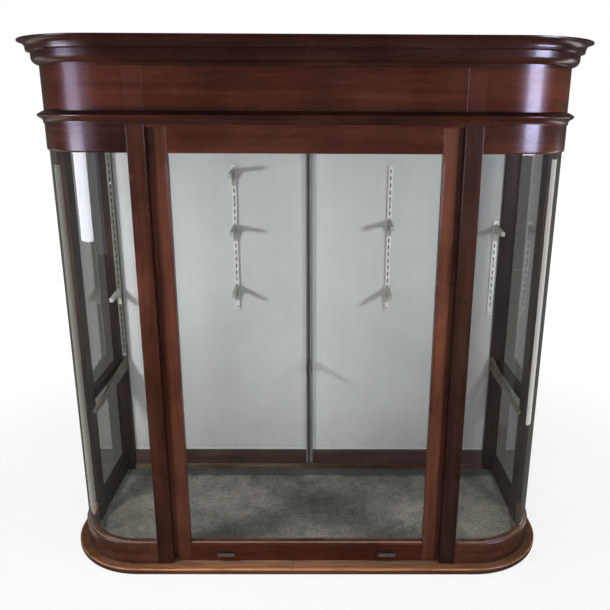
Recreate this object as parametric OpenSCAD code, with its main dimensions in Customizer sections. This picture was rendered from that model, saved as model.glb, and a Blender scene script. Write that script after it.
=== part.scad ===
// Bow-cornered shop display cabinet with a counterweighted rising front sash.
// Millimetres. Front faces -Y, +Z is up, and the origin is the centre of the
// footprint on the surface that the plinth stands on.
// In the helpers below, a depth d runs back from the front face of the stiles,
// and an outset o runs outward from the plan line that the curved rails follow.

/* [Case] */
// Width over the flat sides, at the rails
case_w = 1536; // [1500:2:1600]
// Depth from the front face of the stiles to the back of the frame
case_d = 636; // [620:2:700]
// Radius of the front corners, at the rails
corner_r = 225; // [210:1:240]

/* [Heights] */
// Thickness of the plinth board
plinth_h = 22; // [18:1:30]
// Top of the bottom rails
rail_top = 100; // [95:1:115]
// Underside of the curved head bands
band_z = 1322; // [1280:1:1340]
// Line between the head bands and the frieze
frieze_z = 1397; // [1390:1:1410]
// Line between the frieze and the cornice
cornice_z = 1545; // [1530:1:1580]
// Height of the cornice
cornice_h = 73; // [73:1:90]

/* [Projections] */
// How far the cornice stands out
cornice_out = 48; // [48:1:60]
// How far the plinth stands out
plinth_out = 29; // [20:1:40]
// How far the frieze is set back
frieze_back = 4; // [3:1:5]

/* [Rising sash] */
// Half the clear width between the pulley stiles
opening_half = 431; // [420:1:440]
// Width of the fixed stile faces
stile_w = 49; // [49:1:60]
// Half the width of the sash over its stiles, without the tongues
sash_half = 417; // [410:1:420]
// Width of each sash stile
sash_stile_w = 40; // [36:1:50]
// Depth from the stile faces to the face of the sash
sash_d = 16; // [16:1:18]
// Thickness of the sash
sash_t = 30; // [30:1:32]
// Thickness of all the glass
glass_t = 4; // [3:1:5]

/* [Counterweights] */
// Length of each weight
weight_len = 560; // [400:10:560]
// Width of each weight
weight_w = 23; // [18:1:24]
// Depth of each weight
weight_depth = 40; // [30:1:46]
// Thickness of the sash cords
cord_dia = 5; // [4:1:5]
// Height of the pulley axles
pulley_z = 1480; // [1470:1:1500]

/* [Shelf fittings] */
// Pitch of the slots in the standards
slot_pitch = 25.4; // [25:0.1:32]
// Width of the standards
standard_w = 16; // [14:1:20]
// Depth of the standards
standard_d = 8; // [6:1:10]
// Length of the bracket arms
bracket_len = 105; // [90:5:120]

/* [Hidden] */

// Colours
mahogany = "#5a2a1f";
plinth_brown = "#8a5635";
pane = "#c8d6d480";
off_white = "#bcc2c4";
zinc = "#a9adad";
dark_metal = "#55524c";
iron = "#3c3c3e";
brass = "#8c7a4a";
floor_grey = "#6f6f68";
cotton = "#b9ad95";

// Case layout
half_w = case_w / 2;
face_y = cornice_out - (case_d + cornice_out) / 2;
corner_x = half_w - corner_r;
stile_out = opening_half + stile_w;
top_z = cornice_z + cornice_h;
floor_t = 4;
floor_z = plinth_h + floor_t;
arc_n = 8;

// Small gaps between pieces
gap = 0.3;
joint = 0.2;
slip = 0.1;

// Rails and glazing
rail_t = 26;
bevel_h = 6;
glass_o = -8;
groove_in = 6;
groove_lo = glass_o - glass_t - gap;
groove_hi = glass_o + gap;
glass_z0 = rail_top - groove_in;
glass_z1 = band_z + groove_in;
band_o = -2;
frieze_t = 10;
frieze_drop = 7;
frieze_wall_o = -20;

// Side posts and rails
side_post_d0 = corner_r + 5;
side_post_d1 = side_post_d0 + 55;
rear_post_d0 = case_d - 50;
side_post_t = 30;
mid_rail_z0 = 477;
mid_rail_z1 = 505;
mid_rail_t = 30;

// Back
panel_half = 710;
panel_d = case_d - 30;
panel_t = 10;
rear_rail_d = panel_d - 10;
rear_rail_top = 106;
rear_top_z0 = 1480;
top_board_t = 12;
ceiling_t = 9;
head_rail_h = 37;
panel_joint = 2;
bead_t = 8;
bead_h = 20;
bead_slope = 6;
strip_half = 12.5;
strip_flange = 3;
strip_web_t = 1.2;
strip_d = rear_rail_d - 3;
strip_z0 = floor_z + bead_h + 6;

// Pulley stiles
stile_face_t = 18;
pulley_board_t = 14;
box_side_t = 6;
box_back_t = 6;
box_d = 80;
sash_back_clear = 2;
tongue_t = 8;
tongue_d = sash_d + 12;
tongue_end = opening_half + 6;
tongue_clear = 0.5;
arris_r = 2;
board_out = opening_half + pulley_board_t;

// Sash
sash_z0 = plinth_h + 2;
sash_z1 = frieze_z + 13;
sash_in = sash_half - sash_stile_w;
rebate = 8;
rebate_d = sash_d + 11;
sash_glass_z0 = 82;
sash_face_top = 82;
sash_bevel_top = 89;
sash_glass_z1 = band_z - 1;
chamfer = 5;
chamfer_z0 = 112;
chamfer_z1 = 1303;
chamfer_stop = 14;
glass_bead_t = 9.5;
slot_back_d = sash_d + sash_t + 6;

// Sash lifts
lift_x = 261;
lift_z = 47;
lift_w = 76;
lift_h = 25;
lift_plate_t = 1.6;
lift_screw_r = 2.2;
lift_screw_in = 8;
lip_w = 54;
lip_t = 2;
lip_out = 12;
lip_up = 9;

// Sash gear
cord_d = sash_d + 27;
cord_x = opening_half - 5;
cord_r = cord_dia / 2;
weight_x = board_out + weight_w / 2 + 3;
pulley_x = (cord_x + weight_x) / 2;
pulley_pitch_r = (weight_x - cord_x) / 2;
pulley_rim_r = pulley_pitch_r + 2.25;
pulley_w = 7;
axle_r = 2.5;
axle_clear = 0.05;
cheek_t = 1.5;
cheek_gap = 0.4;
cheek_reach = 6;
weight_neck_h = 12;
weight_neck_r = 7;
cord_anchor_z = 560;
weight_top_z = 1400;
groove_play = 0.6;

// Shelf standards, each with its x, its lower end and its number of slot pitches
inner_left_x = -273;
inner_left_z0 = 708;
inner_right_x = 296;
inner_right_z0 = 703;
inner_n = 21;
outer_left_x = -714;
outer_left_z0 = 520;
outer_left_n = 31;
outer_right_x = 691;
outer_right_z0 = 686;
outer_right_n = 14;
standard_back_d = panel_d - gap;
outer_left_d = rear_post_d0 - gap;
slot_w = 4.5;
slot_h = 15;
sheet_t = 1.6;
end_margin = 8;
screw_head_r = 4;
screw_crown_r = 2.5;
screw_head_h = 1.5;
end_screw_z = 9;
inner_screw_n = 15;
outer_left_screw_n = 25;
outer_right_screw_n = 7;

// Brackets and bearers
bracket_w = 14;
bracket_root_h = 60;
bracket_heel = 4;
bracket_curve_r = 42;
bracket_tip_h = 12;
bracket_drop = 12;
bracket_lip = 3;
bracket_rise = 2;
hook_t = 3;
hook_h = 9;
hook_reach = 5;
inner_left_brackets = [3, 12, 20];
inner_right_brackets = [3, 13];
outer_left_bracket = 10;
outer_right_bracket = 13;
foot_plate_t = 2;
foot_plate_h = 36;
centre_bracket_z = 504;
bearer_x = 707;
bearer_t = 9;
bearer_d = 200;
bearer_root_z0 = 466;
bearer_root_z1 = 518;
bearer_tip_z0 = 460;
bearer_tip_z1 = 471;

// Points on an arc in a section, from angle a0 to angle a1
function arc_pts(cx, cy, r, a0, a1) =
    [for (i = [0 : arc_n]) let (a = a0 + (a1 - a0) * i / arc_n)
        [cx + r * cos(a), cy + r * sin(a)]];

// Middle of the n-th slot of a standard whose lower end is at z0
function slot_z(z0, n) = z0 + end_margin + slot_h / 2 + n * slot_pitch;

// Length of a standard with room for n slots
function standard_len(n) = (n - 1) * slot_pitch + slot_h + 2 * end_margin;

// A plain board between two corners given as x, d and z
module board(x0, x1, d0, d1, z0, z1) {
    translate([x0, face_y + d0, z0])
        cube([x1 - x0, d1 - d0, z1 - z0]);
}

// A plan outline of [x, d] points, between two heights
module upright(points, z0, z1) {
    translate([0, face_y, z0])
        linear_extrude(z1 - z0)
            polygon(points);
}

// A section of [d, z] points, run along X
module cross_run(points, x0, x1) {
    translate([x0, 0, 0])
        rotate([90, 0, 90])
            linear_extrude(x1 - x0)
                polygon([for (p = points) [face_y + p[0], p[1]]]);
}

// A section of [o, z] points, run straight across the front
module front_run(profile, x0, x1) {
    cross_run([for (p = profile) [-p[0], p[1]]], x0, x1);
}

// A section of [o, z] points, swept round the left front corner
module corner_run(profile) {
    translate([-corner_x, face_y + corner_r, 0])
        rotate([0, 0, 180])
            rotate_extrude(angle = 90, $fn = 128)
                polygon([for (p = profile) [corner_r + p[0], p[1]]]);
}

// A section of [o, z] points, run straight along the left side
module side_run(profile, d0, d1) {
    translate([0, face_y + d1, 0])
        rotate([90, 0, 0])
            linear_extrude(d1 - d0)
                polygon([for (p = profile) [-half_w - p[0], p[1]]]);
}

// Front flat, left corner and left side in one piece
module left_wrap(profile, x_in, d_end) {
    front_run(profile, -corner_x, -x_in);
    corner_run(profile);
    side_run(profile, corner_r, d_end);
}

// The plan shape of the case at an outset o, back to depth d_end
module footprint(o, d_end) {
    translate([0, face_y]) {
        translate([-half_w - o, corner_r])
            square([2 * (half_w + o), d_end - corner_r]);
        translate([-corner_x, -o])
            square([2 * corner_x, corner_r + o + 1]);
        for (side = [-1, 1])
            translate([side * corner_x, corner_r])
                circle(corner_r + o, $fn = 128);
    }
}

// Sections

rail_profile = [
    [0, plinth_h], [0, rail_top - bevel_h], [groove_hi, rail_top],
    [groove_hi, glass_z0 - gap], [groove_lo, glass_z0 - gap],
    [groove_lo, rail_top], [-rail_t, rail_top], [-rail_t, plinth_h]
];

band_round = -groove_hi + band_o;
band_profile = concat(
    [[-rail_t, frieze_z], [band_o, frieze_z]],
    arc_pts(groove_hi, band_z + band_round, band_round, 0, -90),
    [[groove_hi, glass_z1 + gap], [groove_lo, glass_z1 + gap],
     [groove_lo, band_z], [-rail_t, band_z]]
);

glass_profile = [
    [glass_o, glass_z0], [glass_o, glass_z1],
    [glass_o - glass_t, glass_z1], [glass_o - glass_t, glass_z0]
];

frieze_profile = [
    [-frieze_back, frieze_z], [-frieze_back, cornice_z],
    [frieze_wall_o, cornice_z], [frieze_wall_o, frieze_z]
];

nose_r = 4;
nose_o = 12;
nose_z = frieze_z + 22;
moulding_top = frieze_z + 35;
moulding_cove_r = 11;
moulding_profile = concat(
    [[-frieze_back, frieze_z], [1, frieze_z], [1, frieze_z + 4]],
    arc_pts(1 + moulding_cove_r, frieze_z + 4, moulding_cove_r, 165, 105),
    arc_pts(nose_o, nose_z, nose_r, -60, 60),
    [[5, moulding_top - 4], [1, moulding_top - 2], [-frieze_back, moulding_top]]
);

cornice_back_o = -frieze_back - frieze_t;
ovolo_r = 20;
ovolo_z = cornice_z + 28;
fascia_o = ovolo_r - frieze_back;
fascia_top = cornice_z + 41;
cove_r = 20;
cove_z = top_z - 4 - cove_r;
cornice_profile = concat(
    [[cornice_back_o, cornice_z], [-frieze_back, cornice_z]],
    arc_pts(-frieze_back, ovolo_z, ovolo_r, -90, 0),
    [[fascia_o, fascia_top], [cornice_out - cove_r - 1, fascia_top + 3]],
    arc_pts(cornice_out, cove_z, cove_r, 180, 90),
    [[cornice_out, top_z - 1], [cornice_out - 1, top_z], [cornice_back_o, top_z]]
);

plinth_edge_r = 4;
plinth_under_r = 8;
plinth_core_o = plinth_out - 10;
plinth_profile = concat(
    [[plinth_core_o - 1, 0]],
    arc_pts(plinth_out - plinth_under_r, plinth_under_r, plinth_under_r, -90, 0),
    arc_pts(plinth_out - plinth_edge_r, plinth_h - plinth_edge_r, plinth_edge_r, 0, 90),
    [[plinth_core_o - 1, plinth_h]]
);

// Base

module plinth_board() {
    color(plinth_brown) {
        linear_extrude(plinth_h)
            footprint(plinth_core_o, case_d);
        front_run(plinth_profile, -corner_x, corner_x);
        for (side = [0, 1])
            mirror([side, 0, 0]) {
                corner_run(plinth_profile);
                side_run(plinth_profile, corner_r, case_d);
            }
    }
}

// Room for one rear post in each back corner of a panel
module rear_post_notches(z0, z1) {
    for (side = [0, 1])
        mirror([side, 0, 0])
            board(-half_w, -panel_half + gap, rear_post_d0 - gap, case_d + 1, z0, z1);
}

module floor_panel() {
    cut_z0 = plinth_h - 1;
    cut_z1 = floor_z + 1;
    color(floor_grey)
        difference() {
            translate([0, 0, plinth_h])
                linear_extrude(floor_t)
                    footprint(-rail_t - gap, rear_rail_d - gap);
            board(-stile_out - gap, stile_out + gap, -1, sash_d + sash_t + sash_back_clear,
                  cut_z0, cut_z1);
            rear_post_notches(cut_z0, cut_z1);
            for (side = [0, 1])
                mirror([side, 0, 0]) {
                    board(-stile_out - gap, -opening_half + gap, -1, box_d + gap,
                          cut_z0, cut_z1);
                    board(-half_w, -half_w + side_post_t + gap, side_post_d0 - gap,
                          side_post_d1 + gap, cut_z0, cut_z1);
                }
        }
}

module base_rail_left() {
    color(mahogany)
        left_wrap(rail_profile, stile_out, side_post_d0);
}

module base_rail_right() {
    mirror([1, 0, 0])
        base_rail_left();
}

module side_base_rails() {
    color(mahogany)
        for (side = [0, 1])
            mirror([side, 0, 0])
                side_run(rail_profile, side_post_d1, rear_post_d0);
}

// Posts and side rails

// Grooves that hold the bent glass and the side panes, left side
module side_pane_groove() {
    x0 = -half_w - groove_hi;
    x1 = -half_w - groove_lo;
    board(x0, x1, side_post_d0 - 1, side_post_d0 + groove_in + gap,
          glass_z0 - gap, glass_z1 + gap);
    board(x0, x1, side_post_d1 - groove_in - gap, rear_post_d0 + groove_in + gap,
          glass_z0 - gap, glass_z1 + gap);
}

module side_post_left() {
    color(mahogany)
        difference() {
            board(-half_w - band_o, -half_w + side_post_t, side_post_d0, side_post_d1,
                  plinth_h, frieze_z);
            side_pane_groove();
        }
}

module side_post_right() {
    mirror([1, 0, 0])
        side_post_left();
}

module rear_post_left() {
    color(mahogany)
        difference() {
            board(-half_w - band_o, -panel_half, rear_post_d0, case_d, plinth_h, cornice_z);
            side_pane_groove();
            board(-half_w - band_o - 1, -half_w - frieze_wall_o + gap, rear_post_d0 - 1,
                  case_d + 1, frieze_z, cornice_z + 1);
        }
}

module rear_post_right() {
    mirror([1, 0, 0])
        rear_post_left();
}

module side_mid_rails() {
    color(mahogany)
        for (side = [0, 1])
            mirror([side, 0, 0])
                difference() {
                    board(-half_w + frieze_back, -half_w + frieze_back + mid_rail_t,
                          side_post_d1, rear_post_d0, mid_rail_z0, mid_rail_z1);
                    for (z = [mid_rail_z0, mid_rail_z1])
                        board(-half_w - groove_hi, -half_w - groove_lo,
                              side_post_d1 - 1, rear_post_d0 + 1,
                              z - groove_in - gap, z + groove_in + gap);
                }
}

module side_head_rails() {
    color(mahogany)
        for (side = [0, 1])
            mirror([side, 0, 0])
                side_run(band_profile, side_post_d1, rear_post_d0);
}

module rear_bottom_rail() {
    color(mahogany)
        board(-panel_half, panel_half, rear_rail_d, case_d, plinth_h, rear_rail_top);
}

module rear_rail_bead() {
    color(mahogany)
        cross_run([[rear_rail_d, floor_z], [rear_rail_d - bead_t, floor_z],
                   [rear_rail_d - bead_t, floor_z + bead_h - bead_slope],
                   [rear_rail_d, floor_z + bead_h]],
                  -panel_half, panel_half);
}

module rear_top_rail() {
    color(mahogany)
        board(-panel_half, panel_half, rear_rail_d, case_d, rear_top_z0, cornice_z);
}

// Back

module back_panel_left() {
    color(off_white)
        board(-panel_half, -panel_joint - gap, panel_d, panel_d + panel_t,
              rear_rail_top, rear_top_z0);
}

module back_panel_right() {
    mirror([1, 0, 0])
        back_panel_left();
}

module back_joint_strip() {
    color(dark_metal) {
        centre_bracket();
        board(-strip_half, strip_half, rear_rail_d - strip_web_t, rear_rail_d,
              strip_z0, rear_top_z0);
        board(-panel_joint, panel_joint, rear_rail_d - 1, panel_d + panel_t,
              rear_rail_top, rear_top_z0);
        for (x = [-strip_half, strip_half - strip_flange]) {
            board(x, x + strip_flange, strip_d, rear_rail_d, strip_z0, rear_top_z0);
            board(x, x + strip_flange, rear_rail_d - 1, panel_d,
                  rear_rail_top, rear_top_z0);
        }
    }
}

// Head bands, frieze, moulding and cornice

module head_band_left() {
    color(mahogany)
        left_wrap(band_profile, stile_out, side_post_d0);
}

module head_band_right() {
    mirror([1, 0, 0])
        head_band_left();
}

module frieze_centre() {
    color(mahogany)
        board(-opening_half, opening_half, frieze_back, frieze_back + frieze_t,
              frieze_z - frieze_drop, cornice_z);
}

module frieze_left() {
    color(mahogany)
        left_wrap(frieze_profile, stile_out, case_d);
}

module frieze_right() {
    mirror([1, 0, 0])
        frieze_left();
}

module moulding_front() {
    color(mahogany)
        front_run(moulding_profile, -corner_x, corner_x);
}

module moulding_left() {
    color(mahogany) {
        corner_run(moulding_profile);
        side_run(moulding_profile, corner_r, case_d);
    }
}

module moulding_right() {
    mirror([1, 0, 0])
        moulding_left();
}

module cornice_front() {
    color(mahogany)
        front_run(cornice_profile, -corner_x, corner_x);
}

module cornice_left() {
    color(mahogany) {
        corner_run(cornice_profile);
        side_run(cornice_profile, corner_r, case_d);
    }
}

module cornice_right() {
    mirror([1, 0, 0])
        cornice_left();
}

module top_board() {
    color(mahogany)
        difference() {
            translate([0, 0, cornice_z])
                linear_extrude(top_board_t)
                    footprint(cornice_back_o - gap, case_d);
            board(-board_out, board_out, -1, slot_back_d,
                  cornice_z - 1, cornice_z + top_board_t + 1);
        }
}

module ceiling_panel() {
    cut_z0 = frieze_z - 1;
    cut_z1 = frieze_z + ceiling_t + 1;
    color(off_white)
        difference() {
            translate([0, 0, frieze_z])
                linear_extrude(ceiling_t)
                    footprint(-rail_t - gap, panel_d - gap);
            board(-stile_out - gap, stile_out + gap, -1, box_d + gap, cut_z0, cut_z1);
            board(-strip_half - gap, strip_half + gap, strip_d - gap, panel_d + 1,
                  cut_z0, cut_z1);
            rear_post_notches(cut_z0, cut_z1);
        }
}

module inner_head_rail() {
    color(mahogany)
        board(-opening_half, opening_half, sash_d + sash_t + sash_back_clear, box_d,
              frieze_z - head_rail_h, frieze_z + ceiling_t);
}

// Glass

module bent_glass_left() {
    color(pane)
        left_wrap(glass_profile, stile_out - groove_in, side_post_d0 + groove_in);
}

module bent_glass_right() {
    mirror([1, 0, 0])
        bent_glass_left();
}

module side_panes_left() {
    color(pane)
        for (span = [[glass_z0, mid_rail_z0 + groove_in], [mid_rail_z1 - groove_in, glass_z1]])
            board(-half_w - glass_o, -half_w - glass_o + glass_t,
                  side_post_d1 - groove_in, rear_post_d0 + groove_in, span[0], span[1]);
}

module side_panes_right() {
    mirror([1, 0, 0])
        side_panes_left();
}

// Pulley stiles

module stile_face_left() {
    color(mahogany)
        difference() {
            union() {
                upright(concat([[-stile_out, stile_face_t]],
                               arc_pts(-stile_out + arris_r, arris_r, arris_r, 180, 270),
                               arc_pts(-opening_half - arris_r, arris_r, arris_r, 270, 360),
                               [[-opening_half, stile_face_t]]),
                        plinth_h, frieze_z);
                board(-stile_out, -opening_half, frieze_back, stile_face_t,
                      frieze_z - 1, cornice_z);
            }
            board(-stile_out - 1, -stile_out + groove_in + gap,
                  -groove_hi, -groove_lo, glass_z0 - gap, glass_z1 + gap);
        }
}

module stile_face_right() {
    mirror([1, 0, 0])
        stile_face_left();
}

module pulley_board_left() {
    slot_h_half = pulley_rim_r + 2;
    slot_d = pulley_w / 2 + cheek_gap + cheek_t;
    color(mahogany)
        difference() {
            board(-board_out, -opening_half, stile_face_t, box_d, plinth_h, cornice_z);
            board(-tongue_end - 1, -opening_half + 1, tongue_d - tongue_clear,
                  tongue_d + tongue_t + tongue_clear, plinth_h - 1, cornice_z + 1);
            board(-board_out - 1, -opening_half + 1, cord_d - slot_d, cord_d + slot_d,
                  pulley_z - slot_h_half, pulley_z + slot_h_half);
        }
}

module pulley_board_right() {
    mirror([1, 0, 0])
        pulley_board_left();
}

module weight_box_left() {
    color(mahogany) {
        board(-stile_out, -stile_out + box_side_t, stile_face_t, box_d, plinth_h, cornice_z);
        board(-stile_out + box_side_t + joint, -board_out - joint, box_d - box_back_t, box_d,
              plinth_h, cornice_z);
    }
}

module weight_box_right() {
    mirror([1, 0, 0])
        weight_box_left();
}

// Sash gear

module at_left_pulley() {
    translate([-pulley_x, face_y + cord_d, pulley_z])
        rotate([90, 0, 0])
            children();
}

module pulley_cases() {
    reach = pulley_w / 2 + cheek_gap;
    color(brass)
        for (side = [0, 1])
            mirror([side, 0, 0])
                at_left_pulley() {
                    cylinder(h = 2 * (reach + cheek_t), r = axle_r, center = true, $fn = 48);
                    for (z = [-reach - cheek_t, reach])
                        translate([-board_out + pulley_x - cheek_reach, -pulley_pitch_r, z])
                            cube([pulley_board_t + cheek_reach, 2 * pulley_pitch_r, cheek_t]);
                }
}

module pulley_left() {
    groove_r = cord_r + groove_play;
    flange = pulley_w / 2;
    color(brass)
        at_left_pulley()
            rotate_extrude($fn = 96)
                polygon(concat([[axle_r + axle_clear, -flange], [pulley_rim_r, -flange]],
                               arc_pts(pulley_pitch_r, 0, groove_r, -60, -180),
                               arc_pts(pulley_pitch_r, 0, groove_r, 180, 60),
                               [[pulley_rim_r, flange], [axle_r + axle_clear, flange]]));
}

module pulley_right() {
    mirror([1, 0, 0])
        pulley_left();
}

module weight_left() {
    color(iron)
        translate([-weight_x, face_y + cord_d, weight_top_z - weight_len]) {
            translate([-weight_w / 2, -weight_depth / 2, 0])
                cube([weight_w, weight_depth, weight_len - weight_neck_h]);
            translate([0, 0, weight_len - weight_neck_h - 1])
                cylinder(h = weight_neck_h + 1, r = weight_neck_r, $fn = 48);
        }
}

module weight_right() {
    mirror([1, 0, 0])
        weight_left();
}

module cord_left() {
    color(cotton)
        translate([0, face_y + cord_d, 0]) {
            translate([-cord_x, 0, cord_anchor_z])
                cylinder(h = pulley_z - cord_anchor_z, r = cord_r, $fn = 32);
            translate([-cord_x, 0, cord_anchor_z])
                sphere(r = cord_r, $fn = 32);
            translate([-cord_x, 0, cord_anchor_z])
                rotate([0, 90, 0])
                    cylinder(h = cord_x - sash_half - gap, r = cord_r, $fn = 32);
            translate([-weight_x, 0, weight_top_z + gap])
                cylinder(h = pulley_z - weight_top_z - gap, r = cord_r, $fn = 32);
            translate([-pulley_x, 0, pulley_z])
                rotate([90, 0, 0])
                    rotate_extrude(angle = 180, $fn = 96)
                        translate([pulley_pitch_r, 0])
                            circle(cord_r, $fn = 32);
        }
}

module cord_right() {
    mirror([1, 0, 0])
        cord_left();
}

// Sash

module sash_stile_left() {
    d1 = sash_d + sash_t;
    color(mahogany)
        difference() {
            upright(concat(arc_pts(-sash_half + arris_r, sash_d + arris_r, arris_r, 180, 270),
                           [[-sash_in, sash_d], [-sash_in, rebate_d],
                            [-sash_in - rebate, rebate_d], [-sash_in - rebate, d1],
                            [-sash_half, d1], [-sash_half, tongue_d + tongue_t],
                            [-tongue_end, tongue_d + tongue_t], [-tongue_end, tongue_d],
                            [-sash_half, tongue_d]]),
                    sash_z0, sash_z1);
            intersection() {
                upright([[-sash_in - chamfer - 1, sash_d - 1], [-sash_in + 1, sash_d - 1],
                         [-sash_in + 1, sash_d + chamfer + 1]],
                        chamfer_z0, chamfer_z1);
                cross_run([[sash_d - 1, chamfer_z0], [sash_d + chamfer, chamfer_z0 + chamfer_stop],
                           [sash_d + chamfer, chamfer_z1 - chamfer_stop],
                           [sash_d - 1, chamfer_z1]],
                          -sash_half, -sash_in + 2);
            }
        }
}

module sash_stile_right() {
    mirror([1, 0, 0])
        sash_stile_left();
}

module sash_top_rail() {
    color(mahogany)
        cross_run([[sash_d, sash_glass_z1], [rebate_d, sash_glass_z1],
                   [rebate_d, sash_glass_z1 + rebate], [sash_d + sash_t, sash_glass_z1 + rebate],
                   [sash_d + sash_t, sash_z1], [sash_d, sash_z1]],
                  -sash_in, sash_in);
}

module sash_bottom_rail() {
    color(mahogany)
        cross_run([[sash_d, sash_z0], [sash_d + sash_t, sash_z0],
                   [sash_d + sash_t, sash_glass_z0], [rebate_d, sash_glass_z0],
                   [rebate_d, sash_bevel_top], [sash_d, sash_face_top]],
                  -sash_in, sash_in);
}

module sash_glass() {
    color(pane)
        board(-sash_in - rebate + gap, sash_in + rebate - gap,
              rebate_d + gap, rebate_d + gap + glass_t,
              sash_glass_z0 + gap, sash_glass_z1 + rebate - gap);
}

module sash_beads() {
    d0 = rebate_d + glass_t + 2 * gap;
    color(mahogany) {
        for (x = [-sash_in - rebate, sash_in])
            board(x, x + rebate, d0, d0 + glass_bead_t, sash_glass_z0, sash_glass_z1 + rebate);
        for (z = [sash_glass_z0, sash_glass_z1])
            board(-sash_in + joint, sash_in - joint, d0, d0 + glass_bead_t, z, z + rebate);
    }
}

// A pointed oval of the size of a lift plate
module lift_outline() {
    r = (pow(lift_w, 2) + pow(lift_h, 2)) / (4 * lift_h);
    intersection_for(side = [-1, 1])
        translate([0, side * (r - lift_h / 2)])
            circle(r, $fn = 256);
}

module sash_lifts() {
    plate_d = sash_d - lift_plate_t;
    lip_d = sash_d - lip_out;
    hook = [[sash_d - 1, lift_z - 2 * lip_t], [lip_d + lip_t, lift_z - 2 * lip_t],
            [lip_d, lift_z - lip_t], [lip_d, lift_z + lip_up],
            [lip_d + lip_t, lift_z + lip_up], [lip_d + lip_t, lift_z - lip_t],
            [sash_d - 1, lift_z - lip_t]];
    color(dark_metal)
        for (x = [-lift_x, lift_x]) {
            translate([x, face_y + sash_d, lift_z])
                rotate([90, 0, 0])
                    linear_extrude(lift_plate_t)
                        lift_outline();
            cross_run(hook, x - lip_w / 2, x + lip_w / 2);
            for (side = [-1, 1])
                translate([x + side * (lift_w / 2 - lift_screw_in), face_y + plate_d, lift_z])
                    rotate([90, 0, 0])
                        cylinder(h = 1, r = lift_screw_r, $fn = 32);
        }
}

// Shelf fittings

// A channel-section standard, n slot pitches long, its back at depth d_back.
// A screw hole takes the place of its lowest slot.
module standard(x, d_back, z0, n) {
    d0 = d_back - standard_d;
    z1 = z0 + standard_len(n);
    difference() {
        board(x - standard_w / 2, x + standard_w / 2, d0, d_back, z0, z1);
        board(x - standard_w / 2 + sheet_t, x + standard_w / 2 - sheet_t,
              d0 + sheet_t, d_back + 1, z0 - 1, z1 + 1);
        for (i = [1 : n - 1])
            translate([x, face_y + d0, slot_z(z0, i)])
                cube([slot_w, 3 * standard_d, slot_h], center = true);
    }
}

module standards_inner() {
    color(zinc) {
        standard(inner_left_x, standard_back_d, inner_left_z0, inner_n);
        standard(inner_right_x, standard_back_d, inner_right_z0, inner_n);
    }
}

module standards_outer() {
    color(zinc) {
        standard(outer_left_x, outer_left_d, outer_left_z0, outer_left_n);
        standard(outer_right_x, standard_back_d, outer_right_z0, outer_right_n);
    }
}

// The arm of a bracket: a folded channel, open and hollowed below, with a small
// lip at its tip
module bracket_arm(x, d0, z_top) {
    tip_d = d0 - bracket_len;
    tip_z = z_top - bracket_drop;
    heel_d = d0 - bracket_heel;
    root_z = z_top - bracket_root_h;
    difference() {
        cross_run(concat([[d0, z_top], [d0, root_z]],
                         arc_pts(heel_d - bracket_curve_r, root_z, bracket_curve_r, 0, 90),
                         [[tip_d, tip_z - bracket_tip_h], [tip_d, tip_z + bracket_lip],
                          [tip_d + bracket_lip, tip_z + bracket_lip],
                          [tip_d + bracket_lip, tip_z]]),
                  x - bracket_w / 2, x + bracket_w / 2);
        cross_run([[d0 - sheet_t, z_top - sheet_t], [d0 - sheet_t, root_z - 1],
                   [tip_d + sheet_t, root_z - 1], [tip_d + sheet_t, tip_z - sheet_t]],
                  x - bracket_w / 2 + sheet_t, x + bracket_w / 2 - sheet_t);
    }
}

// A bracket hooked into slots n and n - 1 of a standard
module bracket(x, d_back, z0, n) {
    d0 = d_back - standard_d - slip;
    bracket_arm(x, d0, slot_z(z0, n) + bracket_rise);
    for (i = [n - 1, n]) {
        hook_z0 = slot_z(z0, i) - slot_h / 2 + slip;
        board(x - hook_t / 2, x + hook_t / 2, d0 - 1, d0 + hook_reach, hook_z0, hook_z0 + hook_h);
    }
}

// The bracket fixed to the joint strip by a foot plate
module centre_bracket() {
    plate_d = strip_d - foot_plate_t;
    bracket_arm(0, plate_d + 1, centre_bracket_z);
    board(-strip_half, strip_half, plate_d, strip_d + 1,
          centre_bracket_z - foot_plate_h, centre_bracket_z);
}

module shelf_brackets() {
    color(zinc) {
        for (n = inner_left_brackets)
            bracket(inner_left_x, standard_back_d, inner_left_z0, n);
        for (n = inner_right_brackets)
            bracket(inner_right_x, standard_back_d, inner_right_z0, n);
        bracket(outer_left_x, outer_left_d, outer_left_z0, outer_left_bracket);
        bracket(outer_right_x, standard_back_d, outer_right_z0, outer_right_bracket);
    }
}

// One screw through the web of a standard, at height z
module standard_screw(x, d_back, z) {
    translate([x, face_y + d_back - standard_d - slip, z])
        rotate([90, 0, 0])
            cylinder(h = screw_head_h, r1 = screw_head_r, r2 = screw_crown_r, $fn = 32);
}

// The two screws of a standard: in its lower end, and above slot n
module standard_screw_pair(x, d_back, z0, n) {
    standard_screw(x, d_back, z0 + end_screw_z);
    standard_screw(x, d_back, slot_z(z0, n) + slot_pitch / 2);
}

module standard_screws() {
    color(zinc) {
        standard_screw_pair(inner_left_x, standard_back_d, inner_left_z0, inner_screw_n);
        standard_screw_pair(inner_right_x, standard_back_d, inner_right_z0, inner_screw_n);
        standard_screw_pair(outer_left_x, outer_left_d, outer_left_z0, outer_left_screw_n);
        standard_screw_pair(outer_right_x, standard_back_d, outer_right_z0, outer_right_screw_n);
    }
}

// Tapered wooden arms that stand forward from the rear posts
module side_bearers() {
    color(mahogany)
        for (side = [0, 1])
            mirror([side, 0, 0])
                cross_run([[rear_post_d0, bearer_root_z0], [rear_post_d0, bearer_root_z1],
                           [bearer_d, bearer_tip_z1], [bearer_d, bearer_tip_z0]],
                          -bearer_x - bearer_t, -bearer_x);
}

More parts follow.
